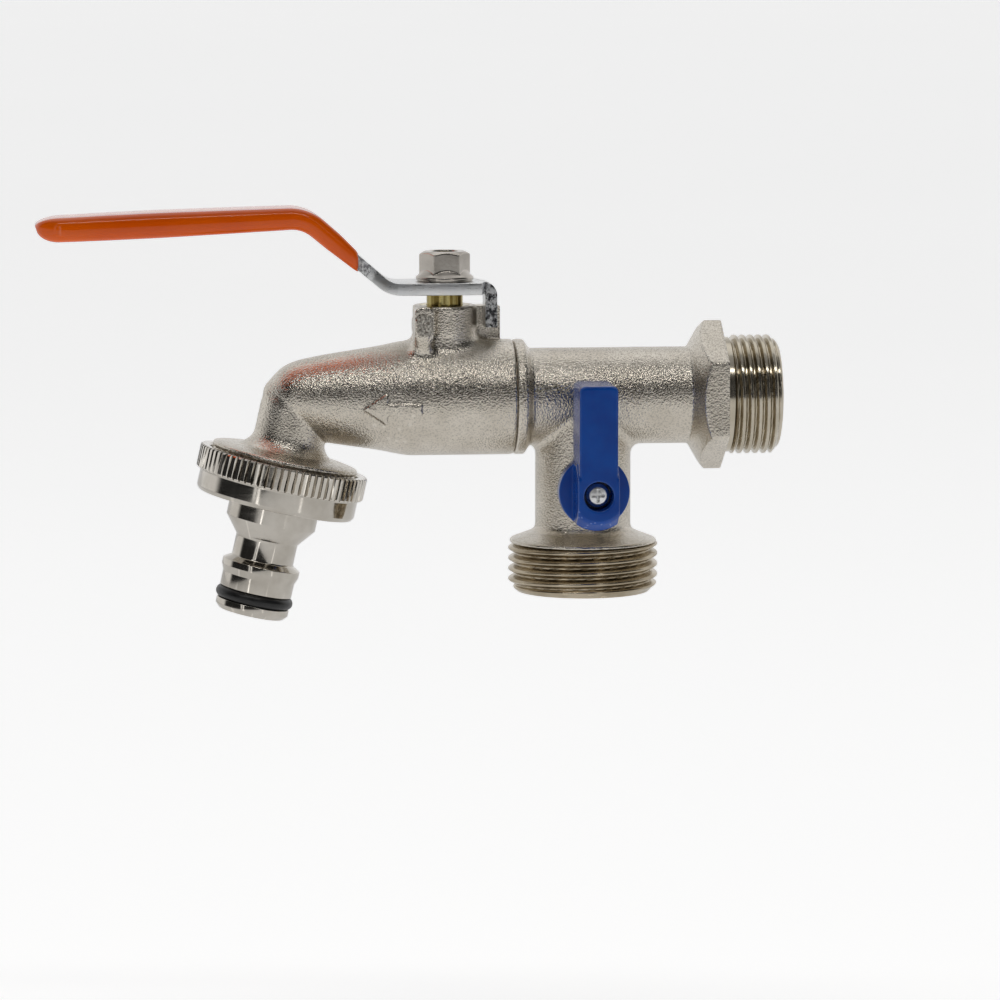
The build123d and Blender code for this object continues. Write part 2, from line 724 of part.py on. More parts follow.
def nipple_o_ring():
    return NOZZLE * Pos(0, 0, O_RING_S) * Torus(NIPPLE_R - O_RING_SECTION, O_RING_SECTION)


def main_seat(side):
    return MAIN_STEM * MAIN * seat_ring(side, BALL_R, BALL_BORE_R, CAVITY_R, SEAT_FACE, SEAT_POCKET)


def branch_seat(side):
    ring = seat_ring(
        side, BRANCH_BALL_R, BRANCH_BALL_BORE_R + 0.1, BRANCH_CAVITY_R, BRANCH_SEAT_FACE, BRANCH_SEAT_POCKET
    )
    return Pos(BRANCH_X, 0, BRANCH_BALL_Z) * ring


def joint_seal_ring():
    inner, outer = SPIGOT_R + 2 * SNUG_GAP, SEAL_GROOVE_R - SNUG_GAP
    return MAIN * tube(inner, outer, SEAM_X - SEAL_GROOVE_DEPTH + SNUG_GAP, SEAM_X - SNUG_GAP)


def main_stem_thrust_washer():
    inner, outer = STEM_R + RUNNING_GAP, STEM_POCKET_R - 2 * RUNNING_GAP
    return MAIN_STEM * tube(inner, outer, STEM_FLANGE_Z + SNUG_GAP, STEM_POCKET_Z - SNUG_GAP)


def main_stem_o_ring():
    return MAIN_STEM * Pos(0, 0, sum(STEM_GROOVE) / 2) * Torus(STEM_R - O_RING_R + 0.02, O_RING_R)


def main_stem_packing():
    inner, outer = STEM_R + RUNNING_GAP, STEM_POCKET_R - RUNNING_GAP
    return MAIN_STEM * tube(inner, outer, GLAND_Z + SNUG_GAP, PACKING_TOP)


def connector_washer():
    outer = OUTLET_CORE_R + 0.2
    return NOZZLE * tube(WASHER_BORE_R, outer, SPOUT_END + SNUG_GAP, SOCKET_FLOOR - SNUG_GAP)


def build():
    lever = main_lever()
    return {
        "tee_body": tee_body(),
        "spout_body": spout_body(),
        "joint_seal_ring": joint_seal_ring(),
        "main_seat_front": main_seat(-1),
        "main_seat_rear": main_seat(1),
        "main_ball": main_ball(),
        "main_stem": main_stem(),
        "main_stem_thrust_washer": main_stem_thrust_washer(),
        "main_stem_o_ring": main_stem_o_ring(),
        "main_stem_packing": main_stem_packing(),
        "main_gland_nut": main_gland_nut(),
        "main_lever": lever,
        "lever_grip": lever_grip(lever),
        "lever_nut": lever_nut(),
        "branch_ball": branch_ball(),
        "branch_seat_upper": branch_seat(1),
        "branch_seat_lower": branch_seat(-1),
        "branch_retainer": branch_retainer(),
        "branch_stem": branch_stem(),
        "branch_stem_o_rings": branch_stem_o_rings(),
        "branch_lever": branch_lever(),
        "branch_lever_screw": branch_lever_screw(),
        "branch_screw_spring_washer": branch_screw_spring_washer(),
        "hose_connector": hose_connector(),
        "connector_washer": connector_washer(),
        "nipple_o_ring": nipple_o_ring(),
    }


os.makedirs("parts", exist_ok=True)
for node, shape in build().items():
    export_step(shape, f"parts/{node}.step")
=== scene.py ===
import json
import math

import bmesh
import bpy
import numpy as np
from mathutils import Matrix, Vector

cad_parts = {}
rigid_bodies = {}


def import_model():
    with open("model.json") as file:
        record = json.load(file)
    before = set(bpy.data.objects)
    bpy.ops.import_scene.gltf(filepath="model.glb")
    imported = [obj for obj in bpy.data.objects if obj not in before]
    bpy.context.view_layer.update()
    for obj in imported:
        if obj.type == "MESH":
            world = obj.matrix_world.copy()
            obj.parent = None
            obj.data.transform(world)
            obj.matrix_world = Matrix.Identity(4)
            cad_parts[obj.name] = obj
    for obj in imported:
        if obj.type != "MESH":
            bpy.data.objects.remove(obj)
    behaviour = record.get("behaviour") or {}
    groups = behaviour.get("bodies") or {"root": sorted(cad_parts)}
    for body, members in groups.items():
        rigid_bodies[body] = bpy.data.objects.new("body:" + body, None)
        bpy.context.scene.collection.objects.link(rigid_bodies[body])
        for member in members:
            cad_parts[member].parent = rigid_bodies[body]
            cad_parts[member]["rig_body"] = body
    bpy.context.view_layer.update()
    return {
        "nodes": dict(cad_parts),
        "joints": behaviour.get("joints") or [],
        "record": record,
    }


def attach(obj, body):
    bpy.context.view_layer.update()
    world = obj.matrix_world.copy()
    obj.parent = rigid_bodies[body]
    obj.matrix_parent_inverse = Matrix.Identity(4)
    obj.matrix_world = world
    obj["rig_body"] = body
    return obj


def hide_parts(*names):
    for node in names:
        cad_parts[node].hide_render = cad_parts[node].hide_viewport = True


MM = 0.001
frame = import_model()
NODES = frame["nodes"]
JOINTS = {j["name"]: j for j in frame["joints"]}
MOUNTS = {m["name"]: m for m in frame["record"]["mounts"]}

# Places, in millimetres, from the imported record.
STEM_X = JOINTS["main_lever_turn"]["pos_m"][0] / MM
BRANCH_X = JOINTS["branch_lever_turn"]["pos_m"][0] / MM
BRANCH_STEM_Z = JOINTS["branch_lever_turn"]["pos_m"][2] / MM
NOZZLE_DIR = Vector(MOUNTS["hose_nipple"]["axis"]).normalized()
NIPPLE_S = 24.95
NOZZLE_TOP = Vector(MOUNTS["hose_nipple"]["pos_m"]) / MM - NOZZLE_DIR * NIPPLE_S



# ---------------------------------------------------------------- materials
class Graph:
    """A material's node tree, written as calls that return output sockets."""

    def __init__(self, name):
        self.material = bpy.data.materials.new(name)
        self.material.use_nodes = True
        self.tree = self.material.node_tree
        self.bsdf = self.tree.nodes["Principled BSDF"]
        coords = self.tree.nodes.new("ShaderNodeTexCoord")
        self.point = self.node("ShaderNodeVectorMath", {0: coords.outputs["Object"], 1: (1 / MM,) * 3},
                               operation="MULTIPLY")

    def node(self, kind, inputs=None, output=0, **settings):
        made = self.tree.nodes.new(kind)
        for key, value in settings.items():
            setattr(made, key, value)
        for key, value in (inputs or {}).items():
            self.feed(made.inputs[key], value)
        return made.outputs[output]

    def feed(self, socket, value):
        if isinstance(value, bpy.types.NodeSocket):
            self.tree.links.new(value, socket)
        elif isinstance(value, tuple) and len(value) == 3 and socket.type == "RGBA":
            socket.default_value = (*value, 1)
        else:
            socket.default_value = value

    def noise(self, per_mm, detail=2.0, stretch=(1, 1, 1), roughness=0.5):
        point = self.node("ShaderNodeVectorMath", {0: self.point, 1: stretch}, operation="MULTIPLY")
        return self.node(
            "ShaderNodeTexNoise", {"Vector": point, "Scale": per_mm, "Detail": detail, "Roughness": roughness}
        )

    def grain(self, per_mm):
        return self.node("ShaderNodeTexVoronoi", {"Vector": self.point, "Scale": per_mm}, feature="SMOOTH_F1")

    def ramp(self, value, low, high, to_low=0.0, to_high=1.0):
        return self.node(
            "ShaderNodeMapRange",
            {"Value": value, "From Min": low, "From Max": high, "To Min": to_low, "To Max": to_high},
        )

    def mix(self, factor, a, b, blend="MIX"):
        made = self.tree.nodes.new("ShaderNodeMix")
        made.data_type = "RGBA"
        made.blend_type = blend
        for socket, value in ((made.inputs[0], factor), (made.inputs[6], a), (made.inputs[7], b)):
            self.feed(socket, value)
        return made.outputs[2]

    def maths(self, operation, a, b=0.0):
        return self.node("ShaderNodeMath", {0: a, 1: b}, operation=operation)

    def edges(self, low=0.51, high=0.56):
        """1 on sharp outside edges, 0 elsewhere."""
        point = self.node("ShaderNodeNewGeometry", output=7)
        return self.ramp(point, low, high)

    def bump(self, height, depth_mm, strength=1.0, under=None):
        inputs = {"Height": height, "Distance": depth_mm * MM, "Strength": strength}
        if under is not None:
            inputs["Normal"] = under
        return self.node("ShaderNodeBump", inputs)

    def finish(self, **inputs):
        for key, value in inputs.items():
            self.feed(self.bsdf.inputs[key.replace("_", " ")], value)
        return self.material


def cast_nickel():
    """Nickel plate over a sand casting: the grain is in the height, with painted shade darkening its pits and a painted
    highlight lightening its sharp edges.
    """
    g = Graph("cast_nickel")
    cloud = g.ramp(g.noise(0.12, 3), 0.35, 0.65)
    sand = g.noise(2.45, 1.5, roughness=0.6)
    pits = g.ramp(sand, 0.50, 0.30)
    tone = g.mix(cloud, (0.63, 0.58, 0.50), (0.73, 0.68, 0.60))
    # painted shade: the sand pits are darkened in the base colour
    tone = g.mix(g.maths("MULTIPLY", pits, 0.5), tone, (0.30, 0.27, 0.23))
    # painted highlight: sharp edges are lightened in the base colour
    tone = g.mix(g.maths("MULTIPLY", g.edges(), 0.35), tone, (0.90, 0.86, 0.79))
    rough = g.ramp(g.noise(0.5, 3), 0.3, 0.7, 0.19, 0.27)
    waves = g.bump(g.noise(0.4, 2), 0.04, 0.6)
    grain = g.bump(sand, 0.165, 1.0, waves)
    return g.finish(Base_Color=tone, Metallic=1.0, Roughness=rough, Normal=grain)


def brass_with_painted_streaks():
    """Bare brass rod with dark and light streaks along its length, painted in as reflections."""
    g = Graph("bare_brass")
    # painted reflection: dark and light upright streaks stand in for reflected strip lights and their dark surroundings
    reflection_streak = g.ramp(g.noise(0.55, 2, (1, 1, 0.02)), 0.42, 0.58)
    tone = g.mix(reflection_streak, (0.22, 0.16, 0.045), (0.72, 0.62, 0.27))
    rough = g.ramp(g.noise(1.4, 3), 0.3, 0.7, 0.14, 0.24)
    tool = g.bump(g.noise(6.0, 2, (0.05, 0.05, 1)), 0.006, 0.7)
    return g.finish(Base_Color=tone, Metallic=1.0, Roughness=rough, Normal=tool)


def turned_metal(name, light, dark, stretch, roughness, lines=0.006, worn=0.0):
    """Machined and plated metal, with tool lines that stretch gives their direction. worn: extra roughness on crests."""
    g = Graph(name)
    cloud = g.ramp(g.noise(0.18, 3), 0.35, 0.65)
    tone = g.mix(cloud, dark, light)
    # painted highlight: sharp edges and thread crests are lightened in the base colour
    tone = g.mix(g.maths("MULTIPLY", g.edges(), 0.5), tone, tuple(min(1, c * 1.35) for c in light))
    rough = g.ramp(g.noise(1.4, 3, stretch), 0.3, 0.7, roughness * 0.75, roughness * 1.3)
    rough = g.maths("ADD", rough, g.maths("MULTIPLY", g.edges(0.52, 0.6), worn))
    tool = g.bump(g.noise(6.0, 2, stretch), lines, 0.7)
    return g.finish(Base_Color=tone, Metallic=1.0, Roughness=rough, Normal=tool)


def zinc_steel():
    g = Graph("zinc_plate")
    cloud = g.ramp(g.noise(0.16, 4), 0.3, 0.7)
    tone = g.mix(cloud, (0.74, 0.75, 0.76), (0.88, 0.88, 0.88))
    tint = g.ramp(g.noise(0.35, 2), 0.55, 0.8)
    tone = g.mix(g.maths("MULTIPLY", tint, 0.25), tone, (0.74, 0.68, 0.50))
    rough = g.ramp(g.noise(2.0, 3, (0.12, 1, 1)), 0.3, 0.7, 0.24, 0.4)
    brushed = g.bump(g.noise(3.5, 3, (0.10, 1, 1)), 0.012, 0.7)
    pits = g.bump(g.noise(1.3, 3), 0.02, 0.5, brushed)
    return g.finish(Base_Color=tone, Metallic=1.0, Roughness=rough, Normal=pits)


def torn_metal(name, dark, light, per_mm, depth):
    """Metal with a coarse broken skin: sheared edges, rough pads, a pitted screw head."""
    g = Graph(name)
    torn = g.noise(per_mm, 4, (1, 1, 0.7), 0.75)
    tone = g.mix(g.ramp(torn, 0.44, 0.57), dark, light)
    return g.finish(Base_Color=tone, Metallic=1.0, Roughness=0.3, Normal=g.bump(torn, depth))


def orange_dip():
    g = Graph("orange_dip")
    cloud = g.ramp(g.noise(0.06, 2), 0.3, 0.7)
    tone = g.mix(cloud, (0.84, 0.105, 0.0), (0.93, 0.135, 0.0))
    scuff = g.ramp(g.noise(0.9, 5, roughness=0.7), 0.64, 0.8)
    tone = g.mix(g.maths("MULTIPLY", scuff, 0.18), tone, (0.95, 0.30, 0.06))
    rough = g.ramp(g.noise(0.4, 3), 0.3, 0.7, 0.12, 0.2)
    sag = g.bump(g.noise(0.10, 1), 0.25, 0.5)
    peel = g.bump(g.noise(0.9, 2), 0.008, 0.5, sag)
    return g.finish(Base_Color=tone, Roughness=rough, Normal=peel, Specular_IOR_Level=0.2, Coat_Weight=0.5,
                    Coat_Roughness=0.03)


def blue_paint():
    g = Graph("blue_enamel")
    cloud = g.ramp(g.noise(0.15, 3), 0.3, 0.7)
    tone = g.mix(cloud, (0.002, 0.050, 0.31), (0.003, 0.075, 0.40))
    # painted highlight: thin light lines are painted along the sharp edges
    tone = g.mix(g.maths("MULTIPLY", g.edges(0.515, 0.57), 0.6), tone, (0.16, 0.27, 0.62))
    chip = g.ramp(g.noise(1.1, 4, roughness=0.65), 0.70, 0.74)
    tone = g.mix(g.maths("MULTIPLY", chip, 0.15), tone, (0.08, 0.16, 0.42))
    rough = g.ramp(g.noise(0.6, 3), 0.3, 0.7, 0.14, 0.22)
    flow = g.bump(g.noise(0.30, 2), 0.09, 0.5)
    peel = g.bump(g.noise(1.6, 2), 0.010, 0.5, flow)
    return g.finish(Base_Color=tone, Roughness=rough, Normal=peel, Specular_IOR_Level=0.25)


def plain_polymer(name, dark, light, roughness, grain_mm=0.01):
    g = Graph(name)
    tone = g.mix(g.ramp(g.noise(0.5, 4), 0.35, 0.65), dark, light)
    rough = g.ramp(g.noise(1.2, 3), 0.3, 0.7, roughness * 0.8, roughness * 1.2)
    return g.finish(Base_Color=tone, Roughness=rough, Normal=g.bump(g.noise(3.0, 2), grain_mm, 0.6))


ALONG_X, ALONG_Z, ROUND = (1, 0.05, 0.05), (0.05, 0.05, 1), (1, 1, 1)
PLATED = ((0.60, 0.55, 0.46), (0.46, 0.41, 0.32))
BRASSY = ((0.52, 0.45, 0.34), (0.36, 0.30, 0.21))
MATERIALS = {
    "nickel_casting": cast_nickel(),
    "inlet_thread": turned_metal("plated_thread_x", *PLATED, ALONG_X, 0.15, worn=0.25),
    "outlet_thread": turned_metal("plated_thread_z", *BRASSY, ALONG_Z, 0.2, worn=0.25),
    "polished_nickel": turned_metal("polished_nickel", (0.61, 0.575, 0.52), (0.50, 0.465, 0.41), ALONG_Z, 0.10, 0.002),
    "bare_brass": brass_with_painted_streaks(),
    "plated_nut": turned_metal("plated_nut", (0.60, 0.56, 0.51), (0.46, 0.425, 0.38), ROUND, 0.2, 0.004),
    "chromed_ball": turned_metal("chromed_ball", (0.80, 0.80, 0.81), (0.70, 0.70, 0.72), ROUND, 0.07, 0.001),
    "zinc_steel": zinc_steel(),
    "sheared": torn_metal("sheared_edge", (0.05, 0.05, 0.055), (0.88, 0.89, 0.91), 1.3, 0.8),
    "rough_pad": torn_metal("rough_pad", (0.30, 0.27, 0.23), (0.86, 0.82, 0.74), 2.1, 0.45),
    "pitted_head": torn_metal("pitted_head", (0.01, 0.01, 0.01), (0.20, 0.20, 0.19), 2.2, 0.5),
    "combed_edge": torn_metal("combed_edge", (0.28, 0.28, 0.29), (0.90, 0.91, 0.92), 2.0, 0.4),
    # painted shade: the spring washer under the screw head is darkened in colour
    "washer_painted_shade": torn_metal("washer_painted_shade", (0.015, 0.018, 0.03), (0.06, 0.065, 0.09), 1.5, 0.1),
    "orange_dip": orange_dip(),
    "blue_paint": blue_paint(),
    "ptfe": plain_polymer("ptfe", (0.78, 0.78, 0.75), (0.86, 0.86, 0.84), 0.45),
    "black_rubber": plain_polymer("black_rubber", (0.004, 0.004, 0.004), (0.010, 0.010, 0.010), 0.38, 0.02),
}


# ---------------------------------------------------------------- mesh tools
def make_object(name, verts, faces, material, body, stands_for=(), sharp_deg=40):
    """A piece from vertices in millimetres in the frame."""
    mesh = bpy.data.meshes.new(name)
    mesh.from_pydata((np.asarray(verts, float) * MM).tolist(), [], faces)
    mesh.validate()
    bm = bmesh.new()
    bm.from_mesh(mesh)
    bmesh.ops.recalc_face_normals(bm, faces=bm.faces)
    bm.to_mesh(mesh)
    bm.free()
    obj = bpy.data.objects.new(name, mesh)
    bpy.context.scene.collection.objects.link(obj)
    return dress(obj, material, body, stands_for, sharp_deg)


def dress(obj, material, body, stands_for=(), sharp_deg=None):
    obj.data.materials.clear()
    obj.data.materials.append(MATERIALS[material])
    obj.data.shade_smooth()
    if sharp_deg is not None:
        obj.data.set_sharp_from_angle(angle=math.radians(sharp_deg))
    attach(obj, body)
    if stands_for:
        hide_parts(*stands_for)
    return obj


def arc_corners(points, radii, steps=5, closed=True):
    """Polygon corners in 2-D, each rounded by its radius."""
    out = []
    count = len(points)
    for i, (point, radius) in enumerate(zip(points, radii)):
        if radius <= 0 or (not closed and i in (0, count - 1)):
            out.append(point)
            continue
        p = np.array(point, float)
        a = np.array(points[i - 1], float) - p
        b = np.array(points[(i + 1) % count], float) - p
        la, lb = np.linalg.norm(a), np.linalg.norm(b)
        a, b = a / la, b / lb
        half = math.acos(max(-1, min(1, a @ b))) / 2
        if half > math.radians(88):
            out.append(point)
            continue
        reach = min(radius / math.tan(half), 0.48 * la, 0.48 * lb)
        fit = reach * math.tan(half)
        centre = p + (a + b) / np.linalg.norm(a + b) * fit / math.sin(half)
        start, end = p + a * reach - centre, p + b * reach - centre
        turn = math.atan2(start[0] * end[1] - start[1] * end[0], start @ end)
        for k in range(steps + 1):
            angle = turn * k / steps
            c, s = math.cos(angle), math.sin(angle)
            out.append(tuple(centre + (start[0] * c - start[1] * s, start[0] * s + start[1] * c)))
    return out


def axes_for(direction):
    """Two unit vectors across direction, the first in the XZ plane."""
    d = Vector(direction).normalized()
    side = Vector((0, 1, 0)).cross(d) if abs(d.y) < 0.9 else Vector((1, 0, 0))
    side.normalize()
    return side, d.cross(side).normalized()


def lathe(profile, origin, direction, segments=160, warp=None):
    """Closed (radius, height) loop turned about a line. warp(angle, radius, height) may reshape it."""
    side, across = axes_for(direction)
    side, across, along = (np.array(v) for v in (side, across, Vector(direction).normalized()))
    loop = np.array(profile, float)
    count = len(loop)
    verts, faces = [], []
    for j in range(segments):
        angle = 2 * math.pi * j / segments
        radius, height = loop[:, 0], loop[:, 1]
        if warp:
            radius, height = warp(angle, radius, height)
        ring = (
            np.array(origin)
            + np.outer(radius * math.cos(angle), side)
            + np.outer(radius * math.sin(angle), across)
            + np.outer(height, along)
        )
        verts.append(ring)
        k = (j + 1) % segments
        for i in range(count):
            n = (i + 1) % count
            faces.append((j * count + i, j * count + n, k * count + n, k * count + i))
    return np.concatenate(verts), faces


def evenly(start, end, step):
    count = max(1, int(round(abs(end - start) / step)))
    return [start + (end - start) * i / count for i in range(count + 1)]


def thread_radius(angle, height, spec):
    """Radius of a right-hand V thread at an angle and height, run out at both ends."""
    phase = ((height - spec["crest_at"]) / spec["pitch"] - angle / (2 * math.pi)) % 1.0
    ridge = 1 - np.abs(phase - 0.5) * 2
    form = 1 - (1 - np.clip((ridge - 0.12) / (0.88 - spec["land"]), 0, 1)) ** 1.5
    depth = spec["crest"] - spec["core"]
    lead = np.clip((height - spec["from"]) / 0.5, 0, 1)
    run = np.clip((spec["end"] - 0.35 - height) / depth, 0, 1)
    return spec["core"] + depth * form * np.minimum(lead, run)


def threaded_piece(name, origin, direction, spec, material):
    """Bored stub with a plain collar, then a true helical thread up to a chamfered end."""
    bore, end, core = spec["bore"], spec["end"], spec["core"]
    profile = [(bore, end - 0.9), (bore, spec["start"])]
    if spec["collar"]:
        collar = spec["collar"]
        profile += [(collar, spec["start"]), (collar, spec["start"] + 0.12), (collar, spec["from"] - 0.3),
                    (collar, spec["from"] - 0.15), (core + 0.12, spec["from"] + 0.1)]
    else:
        profile += [(core, spec["start"])]
    first = len(profile)
    rows = evenly(spec["from"] + 0.15, end - 0.45, 0.085)
    profile += [(core, z) for z in rows]
    profile += [(core - 0.12, end - 0.3), (core - 0.42, end), (bore + 0.95, end), (bore + 0.75, end - 0.06)]

    def warp(angle, radius, height):
        radius = radius.copy()
        span = slice(first, first + len(rows))
        radius[span] = thread_radius(angle, height[span], spec)
        return radius, height

    verts, faces = lathe(profile, origin, direction, 256, warp)
    return make_object(name, verts, faces, material, "tap_body")


def bake(obj):
    """Applies obj's modifiers to its mesh."""
    graph = bpy.context.evaluated_depsgraph_get()
    mesh = bpy.data.meshes.new_from_object(obj.evaluated_get(graph))
    obj.modifiers.clear()
    obj.data = mesh


def relax(mesh, passes, weight):
    """Smooths a mesh; weight(points in mm) says how strongly, 0 to 1, for each vertex."""
    count = len(mesh.vertices)
    co = np.empty(count * 3)
    mesh.vertices.foreach_get("co", co)
    co = co.reshape(-1, 3) / MM
    ends = np.empty(len(mesh.edges) * 2, np.int64)
    mesh.edges.foreach_get("vertices", ends)
    a, b = ends.reshape(-1, 2).T
    degree = np.maximum(np.bincount(a, minlength=count) + np.bincount(b, minlength=count), 1)
    w = np.asarray(weight(co), float)[:, None] * 0.5
    for _ in range(passes):
        total = np.stack(
            [np.bincount(a, co[b, k], count) + np.bincount(b, co[a, k], count) for k in range(3)], axis=1
        )
        co += w * (total / degree[:, None] - co)
    mesh.vertices.foreach_set("co", (co * MM).ravel())
    mesh.update()


def soft_copy(node, name, voxel_mm, passes, material, cuts=(), extra=None, sharp_deg=None, firm=None):
    """A node's shape with the softened edges of a casting. cuts: (point in mm, normal), beyond is removed."""
    source = NODES[node]
    bm = bmesh.new()
    bm.from_mesh(source.data)
    bmesh.ops.remove_doubles(bm, verts=bm.verts, dist=1e-6)
    for point, normal in cuts:
        geometry = bm.verts[:] + bm.edges[:] + bm.faces[:]
        bmesh.ops.bisect_plane(
            bm, geom=geometry, plane_co=Vector(point) * MM, plane_no=normal, clear_outer=True, dist=1e-7
        )
        rim = [e for e in bm.edges if e.is_boundary]
        bmesh.ops.triangle_fill(bm, edges=rim, use_beauty=True, normal=normal)
    mesh = bpy.data.meshes.new(name)
    bm.to_mesh(mesh)
    bm.free()
    obj = bpy.data.objects.new(name, mesh)
    bpy.context.scene.collection.objects.link(obj)
    remesh = obj.modifiers.new("remesh", "REMESH")
    remesh.mode = "VOXEL"
    remesh.voxel_size = voxel_mm * MM
    bpy.context.view_layer.update()
    bake(obj)
    relax(obj.data, passes, firm or (lambda co: np.ones(len(co))))
    if extra:
        relax(obj.data, *extra)
    body = source["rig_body"]
    slot = next(s["material_slot"] for s in frame["record"]["subparts"] if s["node"] == node)
    return dress(obj, material or slot, body, [node], sharp_deg)


# ---------------------------------------------------------------- castings
def near_circle(co, centre, radius, width, z_low, z_high):
    """Weight 1 near an upright circle around centre, falling off over width."""
    away = np.abs(np.hypot(co[:, 0] - centre[0], co[:, 1] - centre[1]) - radius)
    inside = (co[:, 2] > z_low) & (co[:, 2] < z_high)
    return np.clip(1 - away / width, 0, 1) * inside


def spout_blend(co):
    """Softens the foot of the stem boss and of the lug in front of it."""
    boss_foot = near_circle(co, (STEM_X, 0), 7.6, 2.8, 9.5, 14.5)
    away = np.abs(co - (STEM_X - 5.4, -9.0, 9.9)) / (5.0, 4.0, 4.2)
    return np.maximum(boss_foot, np.clip(2 - 2 * away.max(axis=1), 0, 1))


def near_arrow(co):
    """Smooths less around the raised arrow, so that it keeps its edges."""
    inside = (np.abs(co[:, 0] - STEM_X + 12.5) < 8.5) & (co[:, 1] < -8) & (np.abs(co[:, 2] + 1.5) < 5)
    return np.where(inside, 0.3, 1.0)


def lug_mark():
    """Rough cast pad, rounded like a coin slot, on the front of the stop lug."""
    centre, half_x, half_z, corner = (STEM_X - 5.3, -10.0, 16.75), 1.72, 2.35, 1.15
    rings = [(1.0, 0.3), (1.0, -0.35), (0.93, -0.5), (0.62, -0.42), (0.3, -0.4)]
    verts, faces = [], []
    steps = 64
    for scale, lift in rings:
        for k in range(steps):
            t = 2 * math.pi * k / steps
            x = math.copysign(half_x - corner, math.cos(t)) + corner * math.cos(t)
            z = math.copysign(half_z - corner, math.sin(t)) + corner * math.sin(t)
            verts.append((centre[0] + x * scale, centre[1] + lift, centre[2] + z * scale))
    for row in range(len(rings) - 1):
        for k in range(steps):
            a, b = row * steps + k, row * steps + (k + 1) % steps
            faces.append((a, a + steps, b + steps, b))
    last = (len(rings) - 1) * steps
    faces.append(tuple(last + k for k in reversed(range(steps))))
    make_object("lug_mark", verts, faces, "rough_pad", "tap_body", (), 50)


INLET = {"crest": 13.22, "core": 12.06, "pitch": 1.814, "bore": 9.2, "collar": 12.8, "start": 0.0, "from": 1.6,
         "crest_at": 1.17, "end": 12.3, "land": 0.26}
OUTLET = {"crest": 16.62, "core": 15.15, "pitch": 2.309, "bore": 11.5, "collar": None, "start": 32.6, "from": 32.3,
          "crest_at": 32.7, "end": 43.4, "land": 0.10}

soft_copy("spout_body", "spout_casting", 0.26, 4, "nickel_casting", extra=(150, spout_blend), firm=near_arrow)
lug_mark()
soft_copy(
    "tee_body", "tee_casting", 0.3, 4, "nickel_casting",
    cuts=[((0.05, 0, 0), (1, 0, 0)), ((BRANCH_X, 0, -32.65), (0, 0, -1))],
)
threaded_piece("inlet_thread", (0, 0, 0), (1, 0, 0), INLET, "inlet_thread")
threaded_piece("branch_thread", (BRANCH_X, 0, 0), (0, 0, -1), OUTLET, "outlet_thread")


# ---------------------------------------------------------------- tap connector
def connector():
    teeth = 76
    outline = [
        (4.5, 34.55), (4.5, 7.8), (15.4, 7.8), (15.4, 6.0), (16.7, 6.0), (16.7, 0.4), (17.1, 0.0),
        (18.5, 0.0), (18.8, 0.35), (18.8, 4.85), (18.5, 5.2), (17.8, 5.25),
        (17.75, 5.6), (17.75, 9.2), (17.2, 10.0), (10.25, 10.1), (10.0, 10.4), (10.0, 14.05), (9.7, 14.45),
        (6.9, 17.95), (6.9, 22.65), (8.65, 23.65), (8.65, 25.05), (8.05, 26.55), (8.05, 29.75),
        (5.9, 29.75), (5.9, 32.45), (8.15, 32.45), (8.15, 33.85), (7.2, 34.85), (4.8, 34.85),
    ]
    radii = [0.1, 0, 0, 0, 0, 0.1, 0.15, 0.2, 0, 0, 0.15, 0.1, 0.1, 0.7, 0.5, 0.3, 0.15, 0.25, 0.4,
             0.9, 0.6, 0.25, 0.3, 0.3, 0.2, 0.1, 0.1, 0.15, 0.35, 0.3, 0.1]
    profile = arc_corners(outline, radii, 4)

    def knurl(angle, radius, height):
        """Flat lands with V grooves that take up half of each tooth's width."""
        across = abs(((angle * teeth / (2 * math.pi)) % 1.0) - 0.5) * 2
        depth = 0.58 * max(0.0, (across - 0.5) / 0.5)
        band = (radius > 18.3) & (height < 5.23)
        return np.where(band, np.minimum(radius, 18.8 - depth), radius), height

    verts, faces = lathe(profile, NOZZLE_TOP, NOZZLE_DIR, teeth * 8, knurl)
    make_object("tap_connector", verts, faces, "polished_nickel", "tap_body",
                ["hose_connector"], 24)


def o_ring():
    ring = [(7.3 + 1.35 * math.cos(t), 31.1 + 1.35 * math.sin(t)) for t in np.linspace(0, 2 * math.pi, 33)[:-1]]
    verts, faces = lathe(ring, NOZZLE_TOP, NOZZLE_DIR, 128)
    make_object("connector_o_ring", verts, faces, "black_rubber", "tap_body", ["nipple_o_ring"], 180)


connector()
o_ring()


# ---------------------------------------------------------------- main lever
def path_points(points, radii, spacing=0.6):
    """Rounded 2-D path, resampled: list of (point, tangent, distance along)."""
    raw = np.array(arc_corners(points, radii, 10, closed=False))
    steps = np.r_[0, np.cumsum(np.linalg.norm(np.diff(raw, axis=0), axis=1))]
    along = np.linspace(0, steps[-1], int(steps[-1] / spacing) + 1)
    pts = np.stack([np.interp(along, steps, raw[:, k]) for k in (0, 1)], axis=1)
    tangents = np.gradient(pts, axis=0)
    tangents /= np.linalg.norm(tangents, axis=1)[:, None]
    return pts, tangents, along


